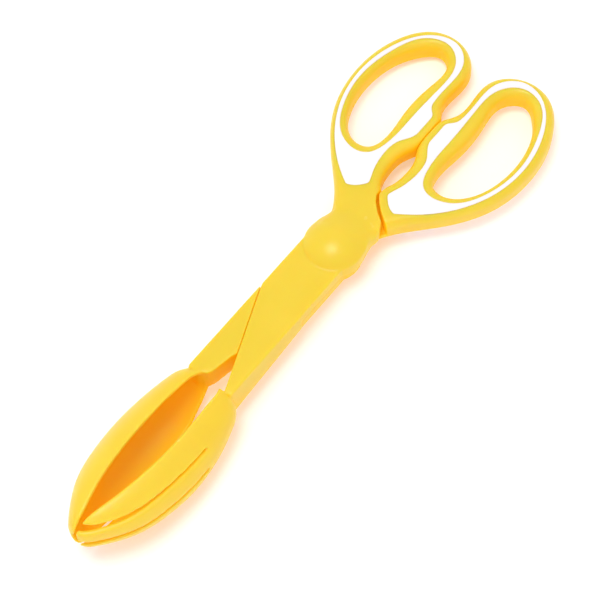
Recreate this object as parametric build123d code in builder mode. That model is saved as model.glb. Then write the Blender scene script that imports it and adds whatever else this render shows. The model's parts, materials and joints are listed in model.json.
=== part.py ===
from build123d import *
import os

# Scissor-action salad tongs: two moulded levers crossing at one pivot, drawn closed.
# The pivot axis is Z through the origin, the finger loops point to +X, the jaws to -X.
# The fork lever has its loop at +Y and its jaw at -Y; the spoon lever is its mirror image,
# except at the lap joint, where the fork lever is the upper half and the spoon lever the lower.
# Z = 0 is the flat top of the finger loops. The written parts are moved as a whole, so that
# their origin lies under the middle of the tongs.

os.makedirs("parts", exist_ok=True)

# Where the pivot axis and the loops' flat top lie in the written frame
PIVOT_X = 23.1
PIVOT_Z = 28.3

# Handles
HANDLE_THICK = 12.0
LOOP_ROUND = 4.0
HOLE_ROUND = 3.0
STOP_GAP = 0.1

# Lap joint
LAP_TOP = -7.5
LAP_GAP = 0.4
LAP_LOW = LAP_TOP - LAP_GAP
# Where each lever ends on its own half of the lap, from the crotch between the loops outwards
SHOULDER_LINE = ((29.5, -1.0), (26.4, -3.0), (22.8, -6.6), (19.8, -10.8), (14.5, -13.3), (9.0, -13.5))
# Where its other half is cut back to let the other lever's shoulder in, with room to spare
CROSSING_LINE = ((30.3, 1.8), (27.4, 3.9), (23.8, 7.6), (20.8, 11.6), (18.9, 15.2), (12.7, 26.0))
CROTCH_Y = 1.8
CUT_FAR = 60.0
CUT_SIDE = 40.0

# Arms
ARM_TOP = -1.5
ARM_HALF = 11.4
ARM_START = -33.0
ARM_END = -80.5
EDGE_SLOPE = 0.39
DEEP_OUTER_NEAR = -14.0
DEEP_OUTER_FAR = -19.5
DEEP_INNER = -11.8
DEEP_WIDE = 12.2
KEEL_ROUND = 4.5

# Pivot
DISC_R = 13.0
DISC_BOTTOM = -14.0
DOME_HEIGHT = 6.0
SCREW_R = 1.9
SCREW_TIP = 1.0
HEAD_R = 3.8
HEAD_THICK = 1.1
SLOT_LONG = 4.0
SLOT_WIDE = 0.8
SLOT_DEEP = 0.7
BUSH_R = 4.0
FLANGE_R = 6.0
FLANGE_THICK = 0.8
FLANGE_CLEAR = 0.1
POCKET_R = 7.5
POCKET_DEPTH = 3.6
COVER_THICK = 1.4
COVER_ROUND = 0.4
WASHER_R = 9.0
WASHER_THICK = 0.3
RUNNING = 0.05
FROM_TOP = (Align.CENTER, Align.CENTER, Align.MAX)
FROM_BELOW = (Align.CENTER, Align.CENTER, Align.MIN)

# Jaws
WALL = 2.0
# Half widths of a slot between two tines, at its root, middle and end
SLOT_ROOT = 0.6
SLOT_MIDDLE = 0.8
SLOT_END = 1.9
# Root, middle and end of each slot as (x, z)
TINE_SLOTS = (
    ((-104, -4.9), (-135, -2.5), (-168, 0.1)),
    ((-108, -12.5), (-138, -10.4), (-168, -8.3)),
    ((-104, -20.0), (-135, -18.6), (-168, -13.6)),
)

# Grip inlays
INLAY_DEPTH = 1.5
INLAY_PROUD = 0.15


def edge_y(x):
    """Inner edge of the fork arm: a straight line across the axis of the tongs."""
    return ARM_HALF - EDGE_SLOPE * (ARM_START - x)


def edge_x(y):
    """Where the inner edge of the fork arm reaches a given y."""
    return ARM_START - (ARM_HALF - y) / EDGE_SLOPE


# Bowl of a jaw as half-ellipse stations from heel to tip: x, the upper rim's distance from the axis
# and its z, the lower rim's distance from the axis and its z, and the depth square to the rims
JAW_STATIONS = (
    (-76.0, 3.2, -1.7, 3.4, -12.4, 7.6),
    (-80.0, 4.8, -1.2, 3.3, -16.8, 8.4),
    (-84.0, 6.5, 0.0, 2.9, -20.2, 11.0),
    (-89.0, 7.0, 0.9, 2.2, -22.8, 13.0),
    (-95.0, 7.5, 1.4, 1.3, -25.3, 14.8),
    (-105.0, 7.9, 1.8, 0.9, -27.0, 16.6),
    (-118.0, 7.7, 2.4, 0.8, -27.8, 17.4),
    (-132.0, 6.4, 3.2, 0.7, -26.6, 16.6),
    (-144.0, 4.2, 3.4, 0.6, -24.6, 14.5),
    (-154.0, 1.6, 2.6, 0.4, -22.2, 10.2),
    (-160.5, 0.6, 0.0, 0.3, -18.2, 5.8),
    (-164.0, 0.2, -4.6, 0.2, -13.8, 2.6),
)
CAVITY_FIRST = 1
CAVITY_LAST = 11


def bowl_section(x, rim, top, foot, low, depth, inset):
    """Half ellipse of the bowl across X, shrunk by inset; its straight side joins the two rims."""
    upper = Vector(x, rim, top)
    lower = Vector(x, foot, low)
    upward = (upper - lower).normalized()
    half = (upper - lower).length / 2
    leaning = Plane(origin=(upper + lower) / 2, x_dir=(0, upward.Z, -upward.Y), z_dir=(1, 0, 0))
    with BuildSketch(leaning) as section:
        with BuildLine():
            arc = EllipticalCenterArc((0, 0), depth - inset, half - inset, -90, arc_size=180)
            if inset > 0:
                Polyline(arc @ 1, (-inset, (arc @ 1).Y), (-inset, (arc @ 0).Y), arc @ 0)
            else:
                Line(arc @ 1, arc @ 0)
        make_face()
    return section.sketch


def slot_face(start, middle, end):
    """Outline in XZ of a slot between two tines, widening from its blunt root to past the tip."""
    with BuildSketch(Plane.XZ) as slot:
        with BuildLine():
            upper = Spline(
                (start[0], start[1] + SLOT_ROOT),
                (middle[0], middle[1] + SLOT_MIDDLE),
                (end[0], end[1] + SLOT_END),
            )
            lower = Spline(
                (start[0], start[1] - SLOT_ROOT),
                (middle[0], middle[1] - SLOT_MIDDLE),
                (end[0], end[1] - SLOT_END),
            )
            RadiusArc(lower @ 0, upper @ 0, -SLOT_ROOT * 1.001)
            Line(upper @ 1, lower @ 1)
        make_face()
    return slot.sketch


# Plan of the fork lever's handle: finger loop, stop, neck, and a round end under the pivot.
# Past the stop line and past the shoulder line it is oversize, and is cut back below.
with BuildSketch() as handle_outline:
    with BuildLine():
        Spline(
            (2.0, 11.4),
            (10.5, 9.9),
            (16.2, 12.2),
            (22.5, 16.6),
            (37.0, 29.9),
            (57.0, 43.0),
            (78.0, 47.2),
            (101.0, 43.0),
            (115.6, 31.0),
            (117.0, 16.5),
            (107.5, 5.3),
            (96.0, 4.4),
            (83.5, 3.6),
            (77.0, -0.4),
            (70.0, -1.6),
            (62.0, -0.8),
            (54.0, 2.8),
            (45.0, 3.6),
            (37.0, 1.8),
            (31.0, -4.0),
            (26.5, -12.5),
            (19.0, -15.2),
            (11.0, -12.6),
            (1.0, -12.6),
            (-9.0, -8.5),
            (-12.4, 0.0),
            (-9.0, 8.5),
            periodic=True,
        )
    make_face()

with BuildSketch() as hole_outline:
    with BuildLine():
        Spline(
            (46.7, 23.0),
            (51.0, 31.0),
            (64.0, 37.9),
            (78.0, 39.6),
            (91.0, 37.6),
            (103.0, 31.2),
            (108.8, 22.5),
            (104.0, 15.8),
            (90.0, 15.0),
            (70.0, 15.6),
            (54.0, 14.8),
            (48.0, 17.6),
            periodic=True,
        )
    make_face()

# Grip inlay: a ring round the finger hole, wide at the neck and at the stop
with BuildSketch() as inlay_outline:
    with BuildLine():
        Spline(
            (26.2, 13.4),
            (38.0, 28.0),
            (58.0, 40.8),
            (78.0, 44.3),
            (98.0, 40.2),
            (112.0, 29.6),
            (114.6, 18.0),
            (107.5, 9.4),
            (95.0, 7.6),
            (82.0, 7.4),
        )
        Spline(
            (82.0, 7.4),
            (78.4, 5.6),
            (74.5, 3.4),
            tangents=((-1, -0.1), (-1, 0)),
        )
        Line((74.5, 3.4), (64.5, 3.4))
        Spline(
            (64.5, 3.4),
            (57.0, 7.4),
            (47.0, 8.9),
            (38.0, 7.2),
            (32.5, 5.2),
            tangents=((-1, 0.2), (-1, -0.3)),
        )
        Spline(
            (32.5, 5.2),
            (30.6, 6.0),
            (26.2, 11.4),
            (26.2, 13.4),
            tangents=((-1, -0.1), (0.6, 0.8)),
        )
    make_face()
    with BuildLine():
        Spline(
            (42.2, 22.5),
            (46.0, 31.0),
            (58.0, 38.8),
            (77.0, 42.4),
            (96.0, 38.8),
            (109.5, 30.2),
            (111.8, 20.5),
            (105.0, 12.0),
            (90.0, 9.9),
            (71.0, 10.5),
            (52.0, 11.4),
            (44.2, 15.0),
            periodic=True,
        )
    make_face(mode=Mode.SUBTRACT)

# Handle of the fork lever, before the lap joint is cut
with BuildPart() as handle:
    with BuildSketch(Plane.XY.offset(-HANDLE_THICK)):
        add(handle_outline.sketch)
    extrude(amount=HANDLE_THICK)
    fillet(handle.faces().filter_by(Axis.Z).edges(), radius=LOOP_ROUND)
    with BuildSketch(Plane.XY.offset(-HANDLE_THICK)):
        add(hole_outline.sketch)
    extrude(amount=HANDLE_THICK, mode=Mode.SUBTRACT)
    hole_edges = handle.edges().filter_by(
        lambda e: e.is_closed and 130 < e.length < 155 and abs(e.center().Z + HANDLE_THICK / 2) > 5.9
    )
    fillet(hole_edges, radius=HOLE_ROUND)
    # Flat stop face
    with Locations((80, STOP_GAP, -HANDLE_THICK / 2)):
        Box(80, 20, 2 * HANDLE_THICK, align=(Align.CENTER, Align.MAX, Align.CENTER), mode=Mode.SUBTRACT)
    # Channels for the front and back inlays
    for channel_top in (0, -HANDLE_THICK + INLAY_DEPTH):
        with BuildSketch(Plane.XY.offset(channel_top)):
            add(inlay_outline.sketch)
        extrude(amount=-INLAY_DEPTH, mode=Mode.SUBTRACT)

# What the fork lever loses on its own half of the lap: all beyond the shoulder line
with BuildSketch() as shoulder_cut:
    with BuildLine():
        Polyline(
            *SHOULDER_LINE,
            (SHOULDER_LINE[-1][0], -CUT_SIDE),
            (CUT_FAR, -CUT_SIDE),
            (CUT_FAR, SHOULDER_LINE[0][1]),
            close=True,
        )
    make_face()

# What it loses on the other lever's half: the whole crossing zone, up to its own shoulder
with BuildSketch() as crossing_cut:
    with BuildLine():
        Polyline(
            *CROSSING_LINE,
            (-CUT_SIDE, CROSSING_LINE[-1][1]),
            (-CUT_SIDE, -CUT_SIDE),
            (CUT_FAR, -CUT_SIDE),
            (CUT_FAR, -CROTCH_Y),
            (CROSSING_LINE[0][0] + 4 * CROTCH_Y, CROTCH_Y),
            close=True,
        )
    make_face()

# Plan of the arm: a straight outer edge, and an inner edge that crosses the axis
with BuildSketch() as arm_outline:
    with BuildLine():
        Polyline(
            (0, ARM_HALF),
            (ARM_START, ARM_HALF),
            (ARM_END, edge_y(ARM_END)),
            (ARM_END, -ARM_HALF),
            (0, -ARM_HALF),
            close=True,
        )
    make_face()
    Circle(DISC_R)

# Where the arm has its full depth: beside the other lever's half of the lap
with BuildPart() as deep_arm:
    lap_end = edge_x(-LAP_GAP / 2)
    with BuildSketch(Plane.XY.offset(DEEP_OUTER_FAR)):
        with BuildLine():
            Polyline(
                (edge_x(DEEP_WIDE - LAP_GAP), -DEEP_WIDE),
                (lap_end, -LAP_GAP / 2),
                (ARM_END, edge_y(ARM_END)),
                (ARM_END, -DEEP_WIDE),
                close=True,
            )
        make_face()
    extrude(amount=ARM_TOP - DEEP_OUTER_FAR)
    for station, outer_low in ((ARM_START + 3, DEEP_OUTER_NEAR), (ARM_END, DEEP_OUTER_FAR)):
        with BuildSketch(Plane.YZ.offset(station)):
            with BuildLine():
                Polyline(
                    (-ARM_HALF, ARM_TOP),
                    (3, ARM_TOP),
                    (3, DEEP_INNER),
                    (-DEEP_WIDE, outer_low),
                    close=True,
                )
            make_face()
    loft(mode=Mode.INTERSECT)
    keel = deep_arm.edges().filter_by(lambda e: e.center().Y < -ARM_HALF and e.length > 40).sort_by(Axis.Z)[0]
    fillet(keel, radius=KEEL_ROUND)

# Spoon bowl at +Y: a thin shell open towards the other jaw
with BuildPart() as bowl:
    for station in JAW_STATIONS:
        add(bowl_section(*station, 0))
    loft()
    for station in JAW_STATIONS[CAVITY_FIRST:CAVITY_LAST]:
        add(bowl_section(*station, WALL))
    loft(mode=Mode.SUBTRACT)

# Domed boss of the fork lever, with a blind hole for the screw from below
with BuildPart() as boss:
    with BuildSketch(Plane.XZ) as boss_profile:
        with BuildLine():
            dome_arc = TangentArc((0, ARM_TOP + DOME_HEIGHT), (DISC_R, ARM_TOP), tangent=(1, 0))
            Polyline(
                dome_arc @ 1,
                (DISC_R, LAP_TOP),
                (SCREW_R, LAP_TOP),
                (SCREW_R, SCREW_TIP),
                (0, SCREW_TIP),
                dome_arc @ 0,
            )
        make_face()
    revolve(axis=Axis.Z)

# Fork lever: the upper half at the pivot
with BuildPart() as fork_lever:
    add(handle.part)
    with BuildSketch(Plane.XY.offset(LAP_TOP)):
        add(shoulder_cut.sketch)
    extrude(amount=HANDLE_THICK, mode=Mode.SUBTRACT)
    with BuildSketch(Plane.XY.offset(LAP_TOP)):
        add(crossing_cut.sketch)
    extrude(amount=-HANDLE_THICK, mode=Mode.SUBTRACT)
    with BuildSketch(Plane.XY.offset(LAP_TOP)):
        add(arm_outline.sketch)
    extrude(amount=ARM_TOP - LAP_TOP)
    Cylinder(SCREW_R, 60, mode=Mode.SUBTRACT)
    add(boss.part)
    add(deep_arm.part)
    mirror(bowl.part, about=Plane.XZ)
    for start, middle, end in TINE_SLOTS:
        add(slot_face(start, middle, end))
        extrude(amount=40, dir=(0, -1, 0), mode=Mode.SUBTRACT)

# Spoon lever: the lower half at the pivot, bored for the bush and pocketed for the screw head
with BuildPart() as spoon_lever:
    mirror(handle.part, about=Plane.XZ)
    with BuildSketch(Plane.XY.offset(LAP_LOW)):
        mirror(shoulder_cut.sketch, about=Plane.XZ)
    extrude(amount=-HANDLE_THICK, mode=Mode.SUBTRACT)
    with BuildSketch(Plane.XY.offset(LAP_LOW)):
        mirror(crossing_cut.sketch, about=Plane.XZ)
    extrude(amount=HANDLE_THICK, mode=Mode.SUBTRACT)
    with BuildSketch(Plane.XY.offset(LAP_LOW)):
        mirror(arm_outline.sketch, about=Plane.XZ)
    extrude(amount=DISC_BOTTOM - LAP_LOW)
    mirror(deep_arm.part, about=Plane.XZ)
    add(bowl.part)
    with Locations((0, 0, DISC_BOTTOM)):
        Cylinder(POCKET_R, POCKET_DEPTH, align=FROM_BELOW, mode=Mode.SUBTRACT)
        Cylinder(BUSH_R + RUNNING, LAP_LOW - DISC_BOTTOM, align=FROM_BELOW, mode=Mode.SUBTRACT)

# Soft grip inlays, front and back of each loop, standing a little proud
with BuildPart() as fork_inlay_front:
    with BuildSketch(Plane.XY.offset(-INLAY_DEPTH)):
        add(inlay_outline.sketch)
    extrude(amount=INLAY_DEPTH + INLAY_PROUD)

with BuildPart() as fork_inlay_back:
    with BuildSketch(Plane.XY.offset(-HANDLE_THICK + INLAY_DEPTH)):
        add(inlay_outline.sketch)
    extrude(amount=-INLAY_DEPTH - INLAY_PROUD)

with BuildPart() as spoon_inlay_front:
    mirror(fork_inlay_front.part, about=Plane.XZ)

with BuildPart() as spoon_inlay_back:
    mirror(fork_inlay_back.part, about=Plane.XZ)

# Pivot: a screw through a flanged bush into the fork lever's boss; the spoon lever turns
# on the bush, on a thin washer, and a round cover closes its pocket
FLANGE_TOP = DISC_BOTTOM + POCKET_DEPTH - FLANGE_CLEAR
HEAD_TOP = FLANGE_TOP - FLANGE_THICK

with BuildPart() as pivot_bush:
    with Locations((0, 0, LAP_TOP)):
        Cylinder(BUSH_R, LAP_TOP - HEAD_TOP, align=FROM_TOP)
    with Locations((0, 0, FLANGE_TOP)):
        Cylinder(FLANGE_R, FLANGE_THICK, align=FROM_TOP)
    with Locations((0, 0, LAP_TOP)):
        Cylinder(SCREW_R + RUNNING, LAP_TOP - HEAD_TOP, align=FROM_TOP, mode=Mode.SUBTRACT)

with BuildPart() as pivot_screw:
    with Locations((0, 0, SCREW_TIP)):
        Cylinder(SCREW_R, SCREW_TIP - HEAD_TOP, align=FROM_TOP)
    with Locations((0, 0, HEAD_TOP)):
        Cylinder(HEAD_R, HEAD_THICK, align=FROM_TOP)
    with BuildSketch(Plane.XY.offset(HEAD_TOP - HEAD_THICK)):
        Rectangle(SLOT_LONG, SLOT_WIDE)
        Rectangle(SLOT_WIDE, SLOT_LONG)
    extrude(amount=SLOT_DEEP, mode=Mode.SUBTRACT)

with BuildPart() as pivot_washer:
    with BuildSketch(Plane.XY.offset(LAP_TOP)):
        Circle(WASHER_R)
        Circle(BUSH_R + RUNNING, mode=Mode.SUBTRACT)
    extrude(amount=-WASHER_THICK)

with BuildPart() as pivot_cover:
    with Locations((0, 0, DISC_BOTTOM)):
        Cylinder(POCKET_R, COVER_THICK, align=FROM_BELOW)
    fillet(pivot_cover.faces().sort_by(Axis.Z)[0].edges(), radius=COVER_ROUND)

PARTS = {
    "fork_lever": fork_lever,
    "spoon_lever": spoon_lever,
    "fork_inlay_front": fork_inlay_front,
    "fork_inlay_back": fork_inlay_back,
    "spoon_inlay_front": spoon_inlay_front,
    "spoon_inlay_back": spoon_inlay_back,
    "pivot_bush": pivot_bush,
    "pivot_screw": pivot_screw,
    "pivot_washer": pivot_washer,
    "pivot_cover": pivot_cover,
}
# The written frame has its origin under the middle of the tongs, at their lowest point
for name, builder in PARTS.items():
    placed = builder.part.moved(Location((PIVOT_X, 0, PIVOT_Z)))
    placed.label = name
    export_step(placed, f"parts/{name}.step")
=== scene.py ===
"""Scissor-action salad tongs: two yellow mouldings crossed on one pivot, with white inlays.

The two levers and their inlays are skinned from distance fields, worked out in millimetres from
the pivot axis (x, y) and the flat top of the finger loops (z). A negative distance is inside.
"""

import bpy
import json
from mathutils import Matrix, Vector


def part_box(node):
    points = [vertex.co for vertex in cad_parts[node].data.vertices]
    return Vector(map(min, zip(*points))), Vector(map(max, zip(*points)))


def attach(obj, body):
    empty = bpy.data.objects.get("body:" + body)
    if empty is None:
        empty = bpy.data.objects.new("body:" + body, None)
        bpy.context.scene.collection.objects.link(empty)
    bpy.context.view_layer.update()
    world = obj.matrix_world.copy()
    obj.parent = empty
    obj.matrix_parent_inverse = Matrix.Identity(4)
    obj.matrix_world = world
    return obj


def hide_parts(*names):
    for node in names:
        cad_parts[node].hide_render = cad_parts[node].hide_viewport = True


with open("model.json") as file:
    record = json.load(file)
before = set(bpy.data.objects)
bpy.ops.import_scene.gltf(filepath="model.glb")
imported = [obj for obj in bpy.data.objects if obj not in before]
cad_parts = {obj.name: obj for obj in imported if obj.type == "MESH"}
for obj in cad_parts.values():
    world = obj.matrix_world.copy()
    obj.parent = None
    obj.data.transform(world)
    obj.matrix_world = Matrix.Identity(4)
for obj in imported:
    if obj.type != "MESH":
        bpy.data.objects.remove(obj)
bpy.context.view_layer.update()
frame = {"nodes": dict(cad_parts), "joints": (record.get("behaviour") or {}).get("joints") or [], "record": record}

import copy
import json
import math

import bpy
import numpy as np
from mathutils import Matrix, Vector

MM = 0.001
NODES = frame["nodes"]
JOINT = frame["joints"][0]

# ---- Driving sizes, in millimetres ----
THICK = 12.0
LOOP_ROUND = 4.0
STOP_GAP = 0.1
STOP_START = 40.0
STOP_ROUND = 0.6
LAP_TOP = -7.5
LAP_LOW = -7.9
# How far from the pivot the lap's faces are trimmed flat
LAP_REACH = 20.0
LAP_ROUND = 0.3
SHOULDER_ROUND = 0.5
JOIN_ROUND = 0.5
ARM_TOP = -1.5
ARM_BOTTOM = -14.0
ARM_HALF = 11.4
ARM_START = -33.0
ARM_END = -81.2
ARM_END_ROUND = 1.0
ARM_ROUND = 0.9
ARM_INNER_ROUND = 0.35
# The spoon's arm is a little narrower, where it would show below the fork's
SPOON_ARM_SPARE = 0.5
# The keel under an arm: where it starts, its outer edge's z there, how that drops on the way to the
# jaw, and the z of its inner edge
KEEL_START = -30.0
KEEL_RUN = 52.0
KEEL_RUN_LIMIT = -1.1
KEEL_NEAR = -14.0
KEEL_DROP = 5.5
KEEL_INNER = -11.8
KEEL_EDGE = 12.2
KEEL_WIDE = 14.0
KEEL_ROUND = 4.5
ARM_SIDE_LEAN = 0.047
LAP_BESIDE = 0.25
DOME_ASIDE = 1.0
CHANNEL_COVER = 0.3
CAVITY_START = -80.2
CAVITY_ROUND = 1.5
RIM_ROUND = 0.8
TIP_ROUND = 3.0
TINE_ROUND = 0.6
FORK_HEEL = -81.0
SPOON_HEEL = -76.5
# All of a jaw lies beyond this x
JAW_FIELD_END = -70
EDGE_SLOPE = 0.39
# Inner edges of the fork's arm and the spoon's, as (x, y) from the jaw, each with its jaw at -y
UPPER_EDGE = ((-84.0, -9.1), (-81.2, -8.0), (-64.1, -1.2), (-33.0, 11.4))
LOWER_EDGE = (
    (-84.0, -9.0), (-80.4, -5.3), (-79.1, -2.8), (-77.1, -1.7),
    (-72.5, -0.8), (-67.4, 0.2), (-64.1, 1.2), (-33.0, 12.3),
)
DISC_R = 13.2
DOME_HEIGHT = 6.0
DOME_FILLET = 0.2
NECK_FILLET = 4.0
SCREW_R = 1.9
SCREW_TIP = 1.0
POCKET_R = 7.55
POCKET_DEPTH = 3.6
BORE_R = 4.05
WALL = 2.0
INLAY_DEPTH = 1.5
INLAY_PROUD = 0.13
INLAY_ROUND = 0.3
ORIGIN = Vector(JOINT["pos_m"]) - Vector((0, 0, LAP_TOP * MM))

# Outline of a handle: finger loop, stop, neck, and a round end under the pivot
HANDLE = (
    (2.0, 11.4), (10.5, 9.9), (16.2, 12.2), (22.5, 16.6), (37.0, 29.9), (57.0, 43.0), (78.0, 47.2),
    (101.0, 43.0), (115.6, 31.0), (117.0, 16.5), (107.5, 5.3), (96.0, 4.4), (83.5, 3.6), (77.0, -0.4),
    (70.0, -1.6),
    (62.0, -0.8), (54.0, 2.8), (45.0, 3.6), (37.0, 1.8), (31.0, -4.0), (26.5, -12.5), (19.0, -15.2),
    (11.0, -12.6), (1.0, -12.6), (-9.0, -8.5), (-12.4, 0.0), (-9.0, 8.5),
)
HOLE = (
    (46.7, 23.0), (51.0, 31.0), (64.0, 37.9), (78.0, 39.6), (91.0, 37.6), (103.0, 31.2),
    (108.8, 22.5), (104.0, 15.8), (90.0, 15.0), (70.0, 15.6), (54.0, 14.8), (48.0, 17.6),
)
# The two cuts of the lap joint, as seen from above
SHOULDER = ((60, -40), (60, -1.0), (29.5, -1.0), (26.4, -3.0), (22.8, -6.6), (19.8, -10.8))
UPPER_END = ((14.5, -13.3), (9.0, -13.5), (9, -40))
LOWER_END = ((15.0, -11.0), (9.0, -11.5), (9, -40))
CROSSING = (
    (30.3, 1.8), (27.4, 3.9), (23.8, 7.6), (20.8, 11.6), (18.9, 15.2), (12.7, 26),
    (-40, 26), (-40, -40), (60, -40), (60, -1.8), (37.1, 1.8),
)
# The jaw from heel to tip: x, the upper rim's distance from the axis and its z, the same for the
# lower rim, and the bowl's depth square to the rims
JAW = (
    (-76.0, 3.2, -1.7, 3.4, -12.4, 7.6),
    (-80.0, 4.8, -1.2, 3.3, -16.8, 8.4),
    (-84.0, 6.5, 0.0, 2.9, -20.2, 11.0),
    (-89.0, 7.0, 0.9, 2.2, -22.8, 13.0),
    (-95.0, 7.5, 1.4, 1.3, -25.3, 14.8),
    (-105.0, 7.9, 1.8, 0.9, -27.0, 16.6),
    (-118.0, 7.7, 2.4, 0.8, -27.8, 17.4),
    (-132.0, 6.4, 3.2, 0.7, -26.6, 16.6),
    (-144.0, 4.2, 3.4, 0.6, -24.6, 14.5),
    (-154.0, 1.6, 2.6, 0.4, -22.2, 10.2),
    (-160.5, 0.6, 0.0, 0.3, -18.2, 5.8),
    (-164.0, 0.2, -4.6, 0.2, -13.8, 2.6),
)
# Root, middle and end of each slot between the tines, as (x, z), and its half widths below
SLOTS = (
    ((-104, -4.9), (-135, -2.5), (-168, 0.1)),
    ((-108, -12.5), (-138, -10.4), (-168, -8.3)),
    ((-104, -20.0), (-135, -18.6), (-168, -13.6)),
)
SLOT_NEAR = 0.6
SLOT_FAR = 1.9


# ---- Distance fields ----
def spline(points, closed=False, per_span=12):
    """Smooth curve through points of any dimension, as an array of samples."""
    p = np.array(points, float)
    if closed:
        p = np.vstack([p, p[:1]])
    n = len(p)
    gap = np.linalg.norm(np.diff(p, axis=0), axis=1)
    matrix, right = np.zeros((n, n)), np.zeros_like(p)
    for i in range(1, n - 1):
        matrix[i, i - 1 : i + 2] = 1 / gap[i - 1], 2 / gap[i - 1] + 2 / gap[i], 1 / gap[i]
        right[i] = 3 * ((p[i] - p[i - 1]) / gap[i - 1] ** 2 + (p[i + 1] - p[i]) / gap[i] ** 2)
    if closed:
        matrix[0, [0, 1, n - 2]] = 2 / gap[0] + 2 / gap[-1], 1 / gap[0], 1 / gap[-1]
        right[0] = 3 * ((p[0] - p[-2]) / gap[-1] ** 2 + (p[1] - p[0]) / gap[0] ** 2)
        matrix[-1, [0, -1]] = 1, -1
    else:
        matrix[0, :2] = 2, 1
        matrix[-1, -2:] = 1, 2
        right[0], right[-1] = 3 * (p[1] - p[0]) / gap[0], 3 * (p[-1] - p[-2]) / gap[-1]
    slope = np.linalg.solve(matrix, right)
    t = np.linspace(0, 1, per_span, endpoint=False)[:, None]
    spans = [
        (2 * t**3 - 3 * t**2 + 1) * p[i] + (t**3 - 2 * t**2 + t) * gap[i] * slope[i]
        + (3 * t**2 - 2 * t**3) * p[i + 1] + (t**3 - t**2) * gap[i] * slope[i + 1]
        for i in range(n - 1)
    ]
    return np.vstack(spans if closed else spans + [p[-1:]])


def ring(points):
    """Sides of a closed polygon, as (start, end) pairs."""
    return list(zip(points, np.roll(points, -1, axis=0)))


def plan_distance(x, y, sides):
    """Signed distance in plan from the area inside the sides."""
    nearest = np.full(np.broadcast(x, y).shape, np.inf)
    inside = np.zeros(nearest.shape, bool)
    for (ax, ay), (bx, by) in sides:
        dx, dy = bx - ax, by - ay
        along = np.clip(((x - ax) * dx + (y - ay) * dy) / (dx * dx + dy * dy), 0, 1)
        nearest = np.minimum(nearest, (x - ax - along * dx) ** 2 + (y - ay - along * dy) ** 2)
        if ay != by:
            inside ^= ((ay > y) != (by > y)) & (x < ax + (y - ay) * dx / dy)
    return np.where(inside, -1, 1) * np.sqrt(nearest)


def both(a, b, radius):
    """Inside a and b, with the edge between them rounded."""
    beyond = np.hypot(np.maximum(a + radius, 0), np.maximum(b + radius, 0))
    return np.minimum(np.maximum(a, b), -radius) + beyond


def either(a, b, radius):
    """Inside a or b, with the corner between them filled to a radius."""
    within = np.hypot(np.maximum(radius - a, 0), np.maximum(radius - b, 0))
    return np.maximum(np.minimum(a, b), radius) - within


def without(a, b, radius):
    """Inside a and outside b, with the edge rounded."""
    return both(a, -b, radius)


def smooth_step(low, high, value):
    t = np.clip((value - low) / (high - low), 0, 1)
    return t * t * (3 - 2 * t)


class Grid:
    """Sample points of a box, a step apart."""

    def __init__(self, low, high, step):
        self.low, self.step = np.array(low, float), step
        x, y, z = (np.arange(a, b + step, step, dtype=np.float32) for a, b in zip(low, high))
        self.x, self.y, self.z = x[:, None, None], y[None, :, None], z[None, None, :]


def handle_field(g):
    """Finger loop, neck and round end, before the lap joint and the inlays' channels are cut."""
    plan = np.maximum(
        plan_distance(g.x, g.y, ring(spline(HANDLE, closed=True))),
        -plan_distance(g.x, g.y, ring(spline(HOLE, closed=True))),
    )
    field = both(plan, np.abs(g.z + THICK / 2) - THICK / 2, LOOP_ROUND)
    return both(field, np.where(g.x > STOP_START, STOP_GAP - g.y, -9), STOP_ROUND)


def edge_y(x, upper):
    """The arm's inner edge, which crosses the axis of the tongs."""
    edge = UPPER_EDGE if upper else LOWER_EDGE
    return np.interp(x, *zip(*edge)) + np.maximum(x - ARM_START, 0) * EDGE_SLOPE


def arm_field(g, upper):
    """Flat arm on its own half of the lap, with its full depth where it passes the other arm."""
    x, y, z = g.x, g.y, g.z
    tilt = math.hypot(1, EDGE_SLOPE)
    inner = (y - edge_y(x, upper)) / tilt
    beside = (y + edge_y(x, not upper) + LAP_BESIDE) / tilt
    spare = 0 if upper else SPOON_ARM_SPARE
    strip = np.maximum(np.maximum(y - ARM_HALF + spare, -y - ARM_HALF), x)
    disc = np.hypot(x, y + (DOME_ASIDE if upper else 0)) - DISC_R + spare
    top, bottom = (z - ARM_TOP, LAP_TOP - z) if upper else (z - LAP_LOW, ARM_BOTTOM - z)
    lap = both(np.minimum(strip, disc), top if upper else bottom, ARM_ROUND)
    lap = both(lap, np.maximum(inner, bottom if upper else top), LAP_ROUND)
    run = np.clip((x - KEEL_START) / KEEL_RUN, KEEL_RUN_LIMIT, 0)
    outer_low = KEEL_NEAR + KEEL_DROP * run
    keel = outer_low + (KEEL_INNER - outer_low) * (y + KEEL_EDGE) / KEEL_WIDE - z
    wall = -y - ARM_HALF - ARM_SIDE_LEAN * (ARM_TOP - z)
    deep = both(wall, keel, KEEL_ROUND)
    deep = both(deep, z - ARM_TOP, ARM_ROUND)
    deep = both(deep, np.maximum(inner, beside), ARM_INNER_ROUND)
    return both(np.minimum(lap, deep), ARM_END - x, ARM_END_ROUND)


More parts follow.
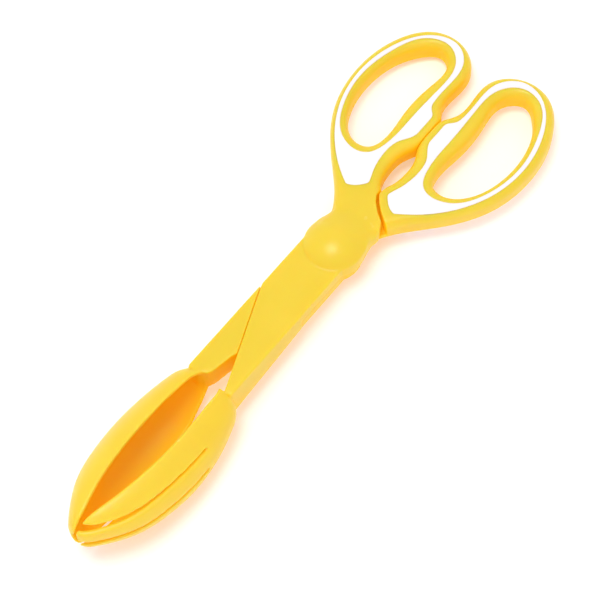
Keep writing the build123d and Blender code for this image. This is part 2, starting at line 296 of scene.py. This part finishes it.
def jaw_field(g, heel, slots):
    """Half of a bowl, open towards the axis and a little upwards, cut into tines by the slots."""
    x, z, out_y = g.x, g.z, -g.y
    stations = spline(JAW, per_span=16)[::-1]
    rim, top, foot, low, depth = (
        np.interp(x, stations[:, 0], stations[:, i]).astype(np.float32) for i in range(1, 6)
    )
    half = np.hypot(rim - foot, top - low) / 2
    lean, rise = (rim - foot) / 2 / half, (top - low) / 2 / half
    along_y, along_z = out_y - (rim + foot) / 2, z - (top + low) / 2
    inward = along_y * rise - along_z * lean
    upward = along_y * lean + along_z * rise
    reach = np.hypot(inward / depth, upward / half)
    outer = (reach - 1) * reach / np.maximum(np.hypot(inward / depth**2, upward / half**2), 1e-4)
    outer = outer / np.hypot(1, np.clip(np.gradient(outer, g.step, axis=0), -3, 3))
    cavity = both(outer + WALL, x - CAVITY_START, CAVITY_ROUND)
    shell = np.maximum(outer, -cavity)
    shell = both(shell, -inward, RIM_ROUND)
    shell = both(shell, x - heel, RIM_ROUND)
    shell = both(shell, JAW[-1][0] - x, TIP_ROUND)
    for root, middle, end in slots:
        bend = np.polyfit(*zip(root, middle, end), 2)
        centre = np.polyval(bend, np.minimum(x, root[0]))
        slope = np.polyval(np.polyder(bend), np.minimum(x, root[0]))
        half_width = (
            SLOT_NEAR + (SLOT_FAR - SLOT_NEAR) * np.clip((x - root[0]) / (end[0] - root[0]), 0, 1) ** 3
        )
        slot = np.hypot((z - centre) / np.hypot(1, slope), np.maximum(x - root[0], 0)) - half_width
        shell = without(shell, slot, TINE_ROUND)
    return shell


def inlay_field(g, sides):
    """Front inlay, a little proud of the loop and following its round edges."""
    proud = handle_field(g) - INLAY_PROUD
    return np.maximum(both(plan_distance(g.x, g.y, sides), proud, INLAY_ROUND), -INLAY_DEPTH - g.z)


def lever_field(g, inlay_sides, upper):
    """One lever, with its loop at +y and its jaw at -y.

    The upper one, the fork, has the dome. The lower one, the spoon, has the screw's pocket.
    """
    x, y, z = g.x, g.y, g.z
    shoulder = plan_distance(x, y, ring(SHOULDER + (UPPER_END if upper else LOWER_END)))
    crossing = plan_distance(x, y, ring(CROSSING))
    field = handle_field(g)
    channel = plan_distance(x, y, inlay_sides) + CHANNEL_COVER
    field = np.maximum(field, -np.maximum(channel, THICK / 2 - INLAY_DEPTH - np.abs(z + THICK / 2)))
    if upper:
        field = without(field, np.maximum(shoulder, LAP_TOP - z), SHOULDER_ROUND)
        field = without(field, np.maximum(crossing, z - LAP_TOP), LAP_ROUND)
    else:
        field = without(field, np.maximum(shoulder, z - LAP_LOW), SHOULDER_ROUND)
        field = without(field, np.maximum(crossing, LAP_LOW - z), LAP_ROUND)
    field = either(field, arm_field(g, upper), JOIN_ROUND)
    axis = np.hypot(x, y)
    if upper:
        ball = (DISC_R**2 + DOME_HEIGHT**2) / (2 * DOME_HEIGHT)
        beside = np.hypot(x, y + DOME_ASIDE)
        dome = np.sqrt(beside**2 + (z - ARM_TOP - DOME_HEIGHT + ball) ** 2) - ball
        dome = np.maximum(np.maximum(dome, beside - DISC_R), LAP_TOP - z)
        towards_neck = smooth_step(0.1, 0.8, x / np.maximum(beside, 0.1))
        field = either(field, dome, DOME_FILLET + NECK_FILLET * towards_neck)
        field = np.maximum(field, -np.maximum(axis - SCREW_R, z - SCREW_TIP))
        beyond_lap = z - LAP_TOP
    else:
        beyond_lap = LAP_LOW - z
        field = np.maximum(field, -np.maximum(axis - POCKET_R, z - ARM_BOTTOM - POCKET_DEPTH))
        field = np.maximum(field, BORE_R - axis)
    # The rounded joins above swell the flat faces of the lap, which are trimmed true again
    field = np.maximum(field, -np.maximum(np.maximum(axis - LAP_REACH, beyond_lap), crossing))
    jaw_end = int((JAW_FIELD_END - g.low[0]) / g.step)
    jaw_grid = copy.copy(g)
    jaw_grid.x = x[:jaw_end]
    heel, slots = (FORK_HEEL, SLOTS) if upper else (SPOON_HEEL, ())
    field[:jaw_end] = either(field[:jaw_end], jaw_field(jaw_grid, heel, slots), JOIN_ROUND)
    return field


# ---- Skinning a field ----
CORNERS = np.array([(i, j, k) for i in (0, 1) for j in (0, 1) for k in (0, 1)])
CELL_EDGES = [
    (a, b) for a in range(8) for b in range(a + 1, 8) if np.abs(CORNERS[a] - CORNERS[b]).sum() == 1
]


def skin(field, g):
    """Vertices and quads of the field's zero surface: one vertex in each cell that it crosses."""
    inside = field < 0
    cells_shape = tuple(n - 1 for n in field.shape)
    count = np.zeros(cells_shape, np.int8)
    for corner in CORNERS:
        count += inside[tuple(slice(c, c + n) for c, n in zip(corner, cells_shape))]
    cells = np.argwhere((count > 0) & (count < 8))
    number = np.full(cells_shape, -1)
    number[tuple(cells.T)] = np.arange(len(cells))
    values = np.stack([field[tuple((cells + corner).T)] for corner in CORNERS], axis=1)
    total, hits = np.zeros((len(cells), 3)), np.zeros(len(cells))
    for a, b in CELL_EDGES:
        crossed = (values[:, a] < 0) != (values[:, b] < 0)
        t = values[crossed, a] / (values[crossed, a] - values[crossed, b])
        total[crossed] += CORNERS[a] + t[:, None] * (CORNERS[b] - CORNERS[a])
        hits[crossed] += 1
    points = cells + total / hits[:, None]
    points = settle(points, field)
    quads = []
    for axis in range(3):
        u, v = np.eye(3, dtype=int)[[(axis + 1) % 3, (axis + 2) % 3]]
        first = inside[tuple(slice(0, -1) if i == axis else slice(1, -1) for i in range(3))]
        second = inside[tuple(slice(1, None) if i == axis else slice(1, -1) for i in range(3))]
        start = np.argwhere(first != second) + u + v
        around = np.stack([number[tuple((start - s).T)] for s in (u + v, v, 0 * u, u)], axis=1)
        leaving = inside[tuple(start.T)]
        quads += [around[leaving], around[~leaving][:, ::-1]]
    return points * g.step + g.low, np.vstack(quads)


def settle(points, field):
    """Moves points that are near the zero surface onto it."""
    slopes = np.gradient(field)
    for _ in range(2):
        cell = np.clip(points.astype(int), 0, np.array(field.shape) - 2)
        part = points - cell
        weights = [np.prod(np.where(c == 1, part, 1 - part), axis=1) for c in CORNERS]
        at = [tuple((cell + c).T) for c in CORNERS]
        value = sum(w * field[i] for w, i in zip(weights, at))
        slope = np.stack([sum(w * s[i] for w, i in zip(weights, at)) for s in slopes], axis=1)
        move = slope * (value / np.maximum((slope**2).sum(axis=1), 1e-6))[:, None]
        points = points - np.clip(move, -0.4, 0.4)
    return points


def add_piece(name, points, quads, body, replaced, material, mirrored=False):
    """A smooth mesh object from points in millimetres, riding on a body in place of a CAD node."""
    if mirrored:
        points, quads = points * (1, -1, 1), quads[:, ::-1]
    mesh = bpy.data.meshes.new(name)
    mesh.vertices.add(len(points))
    mesh.vertices.foreach_set("co", (points * MM + np.array(ORIGIN)).astype(np.float32).ravel())
    mesh.loops.add(4 * len(quads))
    mesh.loops.foreach_set("vertex_index", quads.astype(np.int32).ravel())
    mesh.polygons.add(len(quads))
    mesh.polygons.foreach_set("loop_start", np.arange(0, 4 * len(quads), 4, dtype=np.int32))
    mesh.update(calc_edges=True)
    mesh.validate()
    mesh.shade_smooth()
    piece = bpy.data.objects.new(name, mesh)
    bpy.context.scene.collection.objects.link(piece)
    mesh.materials.append(material)
    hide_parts(replaced)
    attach(piece, body)


def find_inlay_sides():
    """Sides of the fork lever's inlay in plan, from the rim of its CAD node's upper face."""
    mesh = NODES["fork_inlay_front"].data
    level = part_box("fork_inlay_front")[1][2]
    seen = {}
    for face in mesh.polygons:
        if all(abs(mesh.vertices[i].co.z - level) < 1e-5 for i in face.vertices):
            for a, b in face.edge_keys:
                ends = tuple(sorted(tuple(round(c, 7) for c in mesh.vertices[i].co[:2]) for i in (a, b)))
                seen[ends] = seen.get(ends, 0) + 1
    place = np.array(ORIGIN)[:2]
    return [tuple((np.array(end) - place) / MM for end in ends) for ends, uses in seen.items() if uses == 1]


# ---- Materials ----
class Recipe:
    """A node material in the making, its textures laid out in the piece's own coordinates."""

    def __init__(self, name):
        self.material = bpy.data.materials.new(name)
        self.material.use_nodes = True
        tree = self.material.node_tree
        self.nodes, self.links = tree.nodes, tree.links
        self.shader = self.nodes["Principled BSDF"]
        self.place = self.nodes.new("ShaderNodeTexCoord").outputs["Object"]

    def add(self, kind, links=(), settings=(), **values):
        node = self.nodes.new("ShaderNode" + kind)
        for key, value in dict(settings).items():
            setattr(node, key, value)
        for key, value in values.items():
            node.inputs[key].default_value = value
        for key, source in dict(links).items():
            self.links.new(source, node.inputs[key])
        return node

    def noise(self, scale, detail=2.0, stretch=None):
        place = self.place
        if stretch:
            place = self.add("Mapping", {"Vector": place}, Scale=stretch).outputs["Vector"]
        return self.add("TexNoise", {"Vector": place}, Scale=scale, Detail=detail).outputs["Fac"]

    def spread(self, source, low, high, to_low, to_high):
        ranged = self.add("MapRange", {"Value": source}, settings={"interpolation_type": "SMOOTHSTEP"})
        for key, value in zip(("From Min", "From Max", "To Min", "To Max"), (low, high, to_low, to_high)):
            ranged.inputs[key].default_value = value
        return ranged.outputs["Result"]

    def times(self, first, second):
        return self.add("Math", {0: first, 1: second}, settings={"operation": "MULTIPLY"}).outputs["Value"]

    def blend(self, amount, first, second):
        """Colour between two, each a fixed colour or the output of another node."""
        mix = self.add("Mix", {"Factor": amount}, settings={"data_type": "RGBA"})
        for socket, colour in ((mix.inputs[6], first), (mix.inputs[7], second)):
            if isinstance(colour, tuple):
                socket.default_value = (*colour, 1)
            else:
                self.links.new(colour, socket)
        return mix.outputs[2]

    def bump(self, *layers):
        """Stacks (height, depth in metres) layers under the shader's normal."""
        normal = None
        for height, depth in layers:
            links = {"Height": height, "Normal": normal} if normal else {"Height": height}
            normal = self.add("Bump", links, Distance=depth, Strength=1.0).outputs["Normal"]
        self.links.new(normal, self.shader.inputs["Normal"])

    def feed(self, **links):
        for key, source in links.items():
            self.links.new(source, self.shader.inputs[key.replace("_", " ")])

    def fix(self, **values):
        for key, value in values.items():
            self.shader.inputs[key.replace("_", " ")].default_value = value

    def shelter(self, reach):
        """1 on open faces, falling to 0 in hollows and close to other pieces and the floor."""
        hidden = self.add("AmbientOcclusion", settings={"samples": 6}, Distance=reach)
        return hidden.outputs["AO"]

    def edges(self, start, end):
        """0 on flat faces, rising to 1 on sharp convex edges."""
        point = self.nodes.new("ShaderNodeNewGeometry").outputs["Pointiness"]
        return self.spread(point, start, end, 0, 1)


def yellow_plastic():
    """Satin moulded plastic. A deeper colour and a faint glow in its hollows stand in for the light
    that comes through it.
    """
    r = Recipe("yellow_plastic")
    tone = r.spread(r.noise(22, 3), 0.35, 0.65, 0, 1)
    body = r.blend(tone, (0.825, 0.62, 0.03), (0.855, 0.65, 0.042))
    openness = r.spread(r.shelter(0.03), 0.42, 0.93, 0, 1)
    body = r.blend(openness, (0.995, 0.6, 0.002), body)
    # Rubbed edges, paler in patches, and faint scuffs along the tongs
    rubbed = r.times(r.edges(0.53, 0.62), r.spread(r.noise(160, 4), 0.35, 0.7, 0.15, 0.7))
    body = r.blend(rubbed, body, (0.94, 0.78, 0.2))
    scuffs = r.spread(r.noise(90, 5, (1, 14, 14)), 0.6, 0.78, 0, 1)
    satin = r.times(r.spread(scuffs, 0, 1, 0.34, 0.48), r.spread(openness, 0, 1, 1.7, 1))
    lit_through = r.blend(openness, (0.09, 0.045, 0.0), (0.0, 0.0, 0.0))
    r.feed(Base_Color=body, Roughness=satin, Emission_Color=lit_through)
    grain, flow = r.noise(2600, 2), r.noise(45, 2)
    r.bump((flow, 0.00012), (grain, 0.000012), (scuffs, 0.000006))
    r.fix(Subsurface_Weight=0.8, Subsurface_Radius=(1.0, 0.55, 0.1), Subsurface_Scale=0.004)
    r.fix(Specular_IOR_Level=0.4, Emission_Strength=1.0)
    return r.material


def white_plastic():
    """Soft-touch inlay with a fine matt grain, and painted shade, browner in patches, in its corners and close to
    other pieces and the floor.
    """
    r = Recipe("white_plastic")
    tone = r.spread(r.noise(35, 4), 0.4, 0.65, 0, 1)
    body = r.blend(tone, (0.93, 0.9, 0.89), (0.96, 0.935, 0.925))
    # Painted shade: the inlay turns darker and browner, in patches, in its corners and close to other pieces and
    # the floor
    corners = r.spread(r.shelter(0.002), 0.55, 0.95, 0.5, 0)
    painted_corner_shade = r.times(corners, r.spread(r.noise(240, 4), 0.4, 0.7, 0.3, 1))
    body = r.blend(painted_corner_shade, body, (0.84, 0.76, 0.66))
    grain = r.noise(1900, 3)
    r.feed(Base_Color=body, Roughness=r.spread(r.noise(130, 3), 0.35, 0.7, 0.5, 0.64))
    r.bump((grain, 0.00002), (r.noise(60, 2), 0.00006))
    r.fix(Subsurface_Weight=0.08, Subsurface_Radius=(1.0, 0.8, 0.7), Subsurface_Scale=0.002)
    return r.material


def natural_plastic():
    """Milky slippery plastic with turning marks."""
    r = Recipe("natural_plastic")
    tone = r.spread(r.noise(300, 3), 0.35, 0.7, 0, 1)
    turned = r.noise(900, 3, (1, 1, 6))
    milky = r.blend(tone, (0.8, 0.77, 0.69), (0.88, 0.86, 0.8))
    r.feed(Base_Color=milky, Roughness=r.spread(turned, 0.3, 0.7, 0.38, 0.55))
    r.bump((turned, 0.00002), (tone, 0.00002))
    r.fix(Subsurface_Weight=0.15, Subsurface_Radius=(1.0, 0.9, 0.8), Subsurface_Scale=0.002)
    return r.material


def steel():
    """Zinc-plated steel with rings left by turning and a few dull spots."""
    r = Recipe("steel")
    axis = tuple(-c for c in JOINT["pos_m"])
    centred = r.add("Mapping", {"Vector": r.place}, Location=axis).outputs["Vector"]
    rings = r.add(
        "TexWave", {"Vector": centred}, settings={"wave_type": "RINGS", "rings_direction": "Z"},
        Scale=700, Distortion=1.5, Detail=2,
    ).outputs["Fac"]
    dull = r.spread(r.noise(700, 4), 0.5, 0.72, 0, 1)
    zinc = r.blend(dull, (0.66, 0.67, 0.69), (0.5, 0.49, 0.46))
    r.feed(Base_Color=zinc, Roughness=r.spread(dull, 0, 1, 0.26, 0.5))
    r.bump((rings, 0.000012), (dull, 0.000006))
    r.fix(Metallic=1.0)
    return r.material


def floor_paper():
    """Plain white paper with a faint fibre."""
    r = Recipe("floor_paper")
    fibre = r.noise(700, 4)
    r.feed(Base_Color=r.blend(fibre, (0.955, 0.95, 0.95), (0.965, 0.96, 0.96)))
    r.bump((fibre, 0.00001))
    r.fix(Roughness=0.8, Specular_IOR_Level=0.1, Emission_Color=(1, 0.9, 1, 1), Emission_Strength=0.15)
    return r.material


YELLOW, WHITE, NATURAL, STEEL = yellow_plastic(), white_plastic(), natural_plastic(), steel()
FINISH = {"pivot_bush": NATURAL, "pivot_washer": NATURAL, "pivot_screw": STEEL, "pivot_cover": YELLOW}


def finish_node(name):
    """Gives a CAD node its material and softens its sharp edges."""
    node = NODES[name]
    node.data.materials.clear()
    node.data.materials.append(FINISH[name])
    bevel = node.modifiers.new("soft_edges", "BEVEL")
    bevel.width, bevel.segments, bevel.limit_method = 0.00012, 2, "ANGLE"


# ---- Pieces ----
STEP = 0.6
sides = find_inlay_sides()
LEVER_LOW, LEVER_HIGH = (-166, -23, -30), (121, 50, 7)
grid = Grid(LEVER_LOW, LEVER_HIGH, STEP)
fork = skin(lever_field(grid, sides, upper=True), grid)
spoon = skin(lever_field(grid, sides, upper=False), grid)
add_piece("fork_lever_skin", *fork, "fork_half", "fork_lever", YELLOW)
add_piece("spoon_lever_skin", *spoon, "spoon_half", "spoon_lever", YELLOW, mirrored=True)

inlay_grid = Grid((24, 1, -2.2), (118, 47, 0.8), 0.3)
points, quads = skin(inlay_field(inlay_grid, sides), inlay_grid)
back = points * (1, 1, -1) - (0, 0, THICK)
for lever, flipped in (("fork", False), ("spoon", True)):
    for side, spots, faces in (("front", points, quads), ("back", back, quads[:, ::-1])):
        node = f"{lever}_inlay_{side}"
        add_piece(f"{node}_skin", spots, faces, f"{lever}_half", node, WHITE, flipped)
for name in FINISH:
    finish_node(name)


# ---- Stage ----
KEY_DIRECTION = (-0.16, 0.02, 1.0)
WORLD_COLOUR = (1, 0.86, 0.9, 1)
WORLD_STRENGTH = 0.86
FLOOR_HALF = 6.0
# Camera angles in degrees, distances in millimetres, and its target from the pivot
CAMERA_ANGLES = (-46.53, 61.46, -5.69)
CAMERA_TARGET = (-30.64, -7.0, 0)
CAMERA_DISTANCE = 655.9
LENS = 95.39
SENSOR_WIDTH = 36
# Corners above this can't meet the floor before the undersides of the loops do
LOOP_BOTTOM = 0.0175


def swept_corners():
    """The CAD corners at rest, and the moving half's again at steps through the joint's range."""
    at_rest = {name: np.array([v.co for v in node.data.vertices]) for name, node in NODES.items()}
    places = list(at_rest.values())
    moving_nodes = frame["record"]["behaviour"]["bodies"][JOINT["child"]]
    moving = np.vstack([at_rest[name] for name in moving_nodes])
    pivot = np.array(JOINT["pos_m"])
    for degrees in np.linspace(*JOINT["range_deg"], 13):
        turn = np.array(Matrix.Rotation(math.radians(degrees), 3, "Z"))
        places.append((moving - pivot) @ turn.T + pivot)
    return np.vstack(places)


def resting_plane():
    """Slopes and height of the highest plane that stays under the tongs, open or closed."""
    corners = swept_corners()
    corners = corners[corners[:, 2] < LOOP_BOTTOM]
    middle = corners[:, 0].mean()
    best = None
    for slope_x in np.linspace(0, 0.1, 41):
        for slope_y in np.linspace(-0.06, 0.06, 49):
            height = (corners[:, 2] - slope_x * corners[:, 0] - slope_y * corners[:, 1]).min()
            reach = height + slope_x * middle
            if best is None or reach > best[0]:
                best = (reach, slope_x, slope_y, height)
    return best[1:]


def add_floor():
    slope_x, slope_y, height = resting_plane()
    mesh = bpy.data.meshes.new("floor")
    places = [(a * FLOOR_HALF, b * FLOOR_HALF) for a, b in ((-1, -1), (1, -1), (1, 1), (-1, 1))]
    corners = [(x, y, height + slope_x * x + slope_y * y) for x, y in places]
    mesh.from_pydata(corners, [], [(0, 1, 2, 3)])
    floor = bpy.data.objects.new("floor", mesh)
    bpy.context.scene.collection.objects.link(floor)
    mesh.materials.append(floor_paper())


def add_light(name, direction, distance, size, power, colour):
    light = bpy.data.lights.new(name, "AREA")
    light.shape, light.size = "DISK", size
    light.energy, light.color = power, colour
    lamp = bpy.data.objects.new(name, light)
    bpy.context.scene.collection.objects.link(lamp)
    lamp.location = Vector(direction).normalized() * distance
    lamp.rotation_euler = Vector(direction).to_track_quat("Z", "Y").to_euler()


def add_camera():
    """Camera high above the tongs, on the side of the jaws and the fork."""
    azimuth, elevation, roll = (math.radians(a) for a in CAMERA_ANGLES)
    level = math.cos(elevation)
    back = Vector((math.sin(azimuth) * level, -math.cos(azimuth) * level, math.sin(elevation)))
    right = Vector((math.cos(azimuth), math.sin(azimuth), 0))
    up = back.cross(right)
    across = math.cos(roll) * right + math.sin(roll) * up
    upward = math.cos(roll) * up - math.sin(roll) * right
    place = ORIGIN + (Vector(CAMERA_TARGET) + back * CAMERA_DISTANCE) * MM
    data = bpy.data.cameras.new("camera")
    data.lens, data.sensor_width = LENS, SENSOR_WIDTH
    camera = bpy.data.objects.new("camera", data)
    camera.matrix_world = Matrix.Translation(place) @ Matrix((across, upward, back)).transposed().to_4x4()
    bpy.context.scene.collection.objects.link(camera)
    bpy.context.scene.camera = camera


scene = bpy.context.scene
scene.view_settings.view_transform = "Standard"
scene.world = bpy.data.worlds.new("studio")
scene.world.use_nodes = True
background = scene.world.node_tree.nodes["Background"]
background.inputs["Color"].default_value = WORLD_COLOUR
background.inputs["Strength"].default_value = WORLD_STRENGTH
add_floor()
add_light("key", KEY_DIRECTION, distance=1.2, size=0.5, power=5.6, colour=(0.72, 1, 1))
add_camera()
